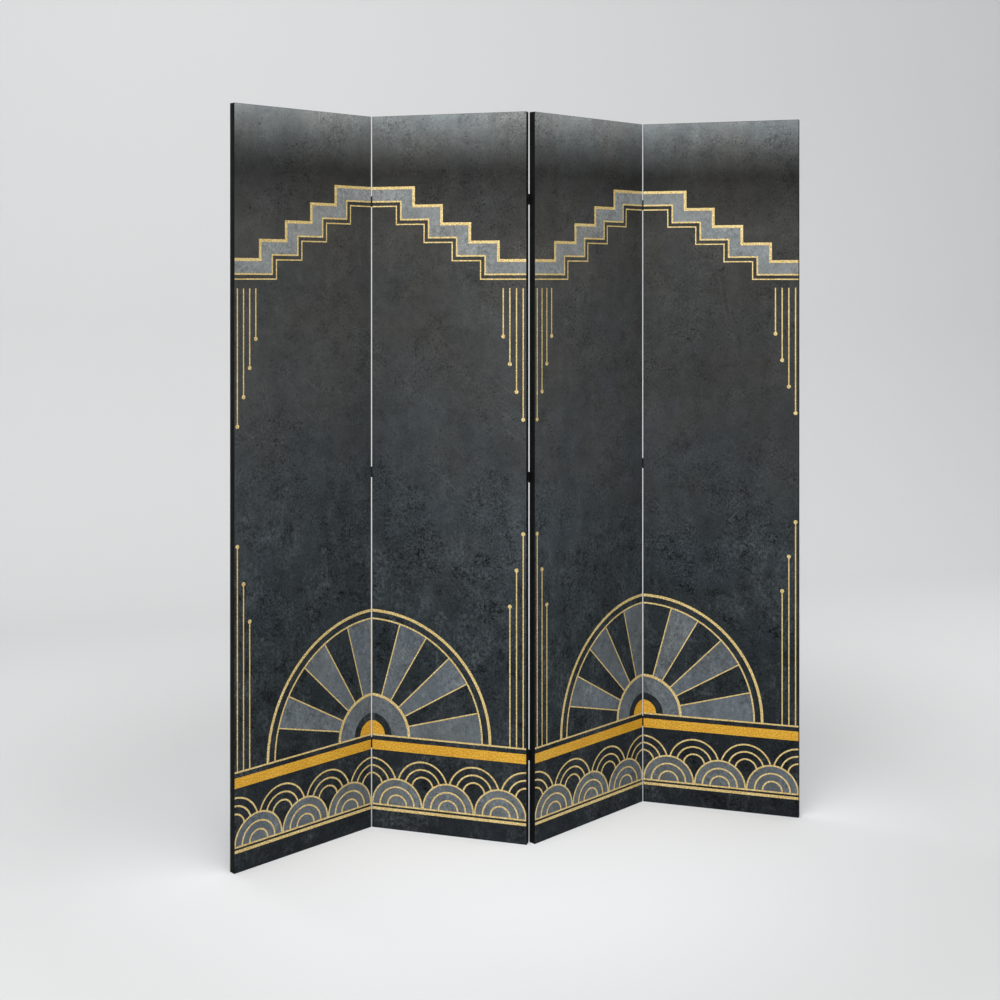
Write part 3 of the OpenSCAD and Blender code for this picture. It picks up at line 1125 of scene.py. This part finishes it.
    def cloth_height(self, x: float, z: float) -> float:
        """Give how far the back cloth stands off the turned-over canvas at a place.

        It puckers up between its staples, drops onto the bars where the canvas ends, and sags a
        little into the openings between the bars.

        Args:
            x: distance from the panel's left edge.
            z: height.

        Returns:
            The distance, to the back.
        """
        width, height = SIZES.panel_width, SIZES.height
        rise = 0.0
        for span, along, across, breadth in ((height, z, x, width), (width, x, z, height)):
            run = span - 2 * self.corner_gap
            pitch = run / round(run / self.staple_pitch)
            free = math.sin(math.pi * (along - self.corner_gap) / pitch) ** 2
            near = min(across, breadth - across) / (self.pucker_reach * self.staple_inset)
            rise = max(rise, self.pucker * free * math.exp(-near ** 2))
        margin = min(x, width - x, z, height - z)
        drop = self.ledge * smooth_step((margin - SIZES.turn_over) / self.ledge_run)
        bars = [height * i / (self.cross_bars + 1) for i in range(1, self.cross_bars + 1)]
        inside = min(margin - self.bar_width,
                     *(abs(z - bar) - self.cross_bar_height / 2 for bar in bars))
        (a, b), (c, d) = self.ripple_run
        spot = Vector((a * x + b * z, c * x + d * z, self.ripple_gap * self.number))
        sag = self.sag + self.ripple * mathutils.noise.noise(spot)
        return rise - drop - sag * smooth_step(inside / self.sag_run)

    def back_cloth(self, fleece: Material) -> None:
        """Lay the cloth on the back, slightly puckered between its staples.

        Args:
            fleece: the cloth's finish.
        """
        inset = SIZES.cloth_inset
        width, height = SIZES.panel_width - 2 * inset, SIZES.height - 2 * inset
        middle = Matrix.Translation((width / 2 + inset, SIZES.canvas_depth, height / 2 + inset))
        size = Matrix.Diagonal((width, height, 1, 1))
        shape = bmesh.new()
        bmesh.ops.create_grid(shape, x_segments=self.cloth_grid[0], y_segments=self.cloth_grid[1],
                              size=0.5, matrix=middle @ STAND @ size)
        thicken(shape, (0, SIZES.back_cloth, 0))
        for vert in shape.verts:
            vert.co.y += self.cloth_height(vert.co.x, vert.co.z)
        self.map_print(shape)
        piece = self.finished(shape, "back_cloth", (fleece,), smooth_angle=60)
        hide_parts(f"back_cover_{self.number}")

    def staples(self, finish: Material) -> None:
        """Drive the staples through the back cloth, all round the panel.

        Args:
            finish: the wire's finish.
        """
        width, height, inset = SIZES.panel_width, SIZES.height, self.staple_inset
        out = SIZES.depth + self.wire[1] * self.wire_proud
        shape, bent = bmesh.new(), self.one_staple()
        draw = random.Random(self.number)
        for span, breadth, upright in ((height, width, True), (width, height, False)):
            run = span - 2 * self.corner_gap
            count = round(run / self.staple_pitch)
            for i in range(count + 1):
                along = self.corner_gap + i * run / count
                for across in (inset, breadth - inset):
                    x, z = (across, along) if upright else (along, across)
                    lean = 90 * upright + draw.uniform(-self.staple_skew, self.staple_skew)
                    place = (Matrix.Translation((x, out, z))
                             @ Matrix.Rotation(math.radians(lean), 4, "Y"))
                    staple = bent.copy()
                    bmesh.ops.transform(staple, matrix=place, verts=staple.verts)
                    merge(shape, staple)
        self.finished(shape, "staples", (finish,), smooth_angle=40)

    def one_staple(self) -> BMesh:
        """Bend one staple: a leg, the crown and the other leg, its crown along x at the origin.

        Returns:
            Its shape.
        """
        wide, thick = self.wire
        drop = thick * self.wire_bend
        start = Matrix.Translation(((thick - self.crown) / 2, -self.leg, 0))
        size = Matrix.Diagonal((thick, wide, 1, 1))
        shape = bmesh.new()
        bmesh.ops.create_grid(shape, x_segments=1, y_segments=1, size=0.5,
                              matrix=start @ STAND @ size)
        end = shape.faces[:][0]
        facing = 0
        for x, y, target in ((0, self.leg - drop, 0), (drop / 2, drop, 90),
                             (self.crown - thick - drop, 0, 90), (drop / 2, -drop, 180),
                             (0, drop - self.leg, 180)):
            made = bmesh.ops.extrude_face_region(shape, geom=[end])
            verts, end = born(made, BMVert), born(made, BMFace)[0]
            bmesh.ops.translate(shape, verts=verts, vec=(x, y, 0))
            bmesh.ops.rotate(shape, verts=verts, cent=end.calc_center_median(),
                             matrix=Matrix.Rotation(math.radians(facing - target), 3, "Z"))
            facing = target
        bmesh.ops.recalc_face_normals(shape, faces=shape.faces)
        return shape


class Hardware:
    """The construction's own pieces, which keep their shape and get their finishes here."""

    def __init__(self) -> None:
        """Make a finish for each word in the pieces' names, and one for the level bars."""
        self.finishes: dict[str, Finish] = {
            "leaf": Lacquer(name="black hinge lacquer", specular=0.28,
                            base=linear(13, 13, 14), rubbed=linear(44, 43, 42)),
            "pin": Lacquer(name="blackened steel", roughness=0.37, metallic=0.9,
                           base=linear(74, 74, 78), rubbed=linear(120, 120, 124)),
            "screws": Lacquer(name="black zinc", roughness=0.39, metallic=0.6,
                              base=linear(34, 34, 37), rubbed=linear(88, 88, 92)),
            "stile": Pine(name="planed pine, upright", run=Run.UPRIGHT),
        }
        self.level = Pine(name="planed pine, level", run=Run.LEVEL)

    def finish_nodes(self) -> None:
        """Give every construction piece its finish by what it is."""
        for name, piece in frame["nodes"].items():
            kinds = (finish for word, finish in self.finishes.items() if word in name)
            material = next(kinds, self.level).material
            for slot in piece.material_slots:
                slot.material = material
        LOG.info("finished %d construction pieces", len(frame["nodes"]))


@dataclass(frozen=True)
class Lamp:
    """A square soft box: its place, what it points at, its size, its power and its beam."""

    name: str
    place: Triple
    aim: Triple
    size: float
    power: float
    beam: float = 180.0

    def hang(self) -> None:
        """Hang the lamp in the room."""
        light = bpy.data.lights.new(self.name, "AREA")
        light.shape = "SQUARE"
        light.size = self.size
        light.energy = self.power
        light.spread = math.radians(self.beam)
        spot = bpy.data.objects.new(self.name, light)
        spot.location = self.place
        towards = Vector(self.aim) - Vector(self.place)
        spot.rotation_euler = towards.to_track_quat("-Z", "Y").to_euler()
        bpy.context.scene.collection.objects.link(spot)


@dataclass(frozen=True)
class Studio:
    """The pale room, its light and the camera."""

    floor_half_width: float = 9.0
    floor_front: float = -7.0
    wall_at: float = 3.6
    cove_radius: float = 1.2
    cove_steps: int = 24
    wall_height: float = 6.0
    eye: Triple = (-0.88056, -3.39957, 1.38237)
    eye_turn: float = -13.718
    lens: float = 49.945
    sensor: float = 36.0
    shift: float = -0.21853
    sky: Colour = (0.97, 0.985, 1.0)
    sky_strength: float = 0.54
    lamps: tuple[Lamp, ...] = (
        Lamp("key", (-3.2, -3.4, 2.6), (0.4, 1.5, 0.9), 2.6, 75.0),
        Lamp("top", (0.0, -1.4, 5.2), (0.0, -1.0, 0.0), 2.5, 116.0),
        Lamp("front", (-0.9, -5.0, 4.2), (0.0, 1.0, 0.6), 3.5, 56.0),
        Lamp("front left", (-3.0, -4.8, 2.8), (-0.4, 1.5, 0.8), 2.5, 11.0),
        Lamp("wall wash", (-1.5, 0.6, 4.6), (-1.0, 3.6, 2.2), 2.0, 4.0, 120.0),
        Lamp("far right", (2.6, 0.9, 3.0), (2.4, 2.1, 0.0), 1.2, 5.0, 100.0),
        Lamp("rear left", (-2.2, 2.6, 2.3), (0.0, 0.1, 0.8), 1.2, 3.0, 75.0),
    )

    def backdrop(self) -> None:
        """Make the floor and the wall in one sheet with a round cove between them."""
        shape = bmesh.new()
        wide, cove_at = self.floor_half_width, self.wall_at - self.cove_radius
        edge = shape.edges.new([shape.verts.new((x, self.floor_front, 0)) for x in (-wide, wide)])

        edge = carry(shape, edge, (0, cove_at - self.floor_front, 0))
        made = bmesh.ops.spin(shape, geom=[*edge.verts, edge], angle=math.radians(90),
                              steps=self.cove_steps, axis=(1, 0, 0),
                              cent=(0, cove_at, self.cove_radius), use_duplicate=False)
        carry(shape, born(made, BMEdge, "geom_last")[0], (0, 0, self.wall_height))
        bmesh.ops.recalc_face_normals(shape, faces=shape.faces)
        paint = StudioPaintWithPaintedLight().material
        to_object(shape, "studio_backdrop", Matrix(), (paint,), smooth_angle=60)

    def light(self) -> None:
        """Light the room: an even soft world and the lamps."""
        world = bpy.data.worlds.new("studio light")
        world.use_nodes = True
        back = world.node_tree.nodes["Background"]
        back.inputs["Color"].default_value = (*self.sky, 1)
        back.inputs["Strength"].default_value = self.sky_strength
        bpy.context.scene.world = world
        for lamp in self.lamps:
            lamp.hang()

    def camera(self) -> None:
        """Stand the camera where the photograph was taken."""
        data = bpy.data.cameras.new("camera")
        data.lens = self.lens
        data.sensor_width = self.sensor
        data.shift_y = self.shift
        eye = bpy.data.objects.new("camera", data)
        eye.location = self.eye
        eye.rotation_euler = (math.radians(90), 0, math.radians(self.eye_turn))
        bpy.context.scene.collection.objects.link(eye)
        bpy.context.scene.camera = eye
        bpy.context.scene.view_settings.view_transform = "Standard"


def main() -> None:
    """Build the studio and dress the screen, panel by panel."""
    logging.basicConfig(level=logging.INFO, format="%(name)s: %(message)s")
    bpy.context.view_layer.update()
    studio = Studio()
    studio.camera()
    studio.backdrop()
    studio.light()
    Hardware().finish_nodes()
    ground, edge = PrintedGround().material, BlackCanvas().material
    grey, fleece = GreyPrint().material, Fleece().material
    golds = [GoldPrint(name="printed gold lines", dark=linear(163, 130, 60),
                       middle=linear(208, 180, 112), light=linear(244, 230, 180)).material,
             GoldPrint(name="printed gold bands", dark=linear(180, 122, 10),
                       middle=linear(208, 152, 28), light=linear(236, 196, 78)).material]
    wire = Lacquer(name="staple wire", roughness=0.35, metallic=0.9,
                   base=linear(120, 120, 122), rubbed=linear(170, 170, 170)).material
    design = PrintDesign()
    for number in range(1, SIZES.panels + 1):
        panel = Panel(number)
        panel.canvas(ground, edge)
        panel.print_on(design, golds, grey)
        panel.back_cloth(fleece)
        panel.staples(wire)
    LOG.info("the screen is dressed")


if __name__ == "__main__":
    main()
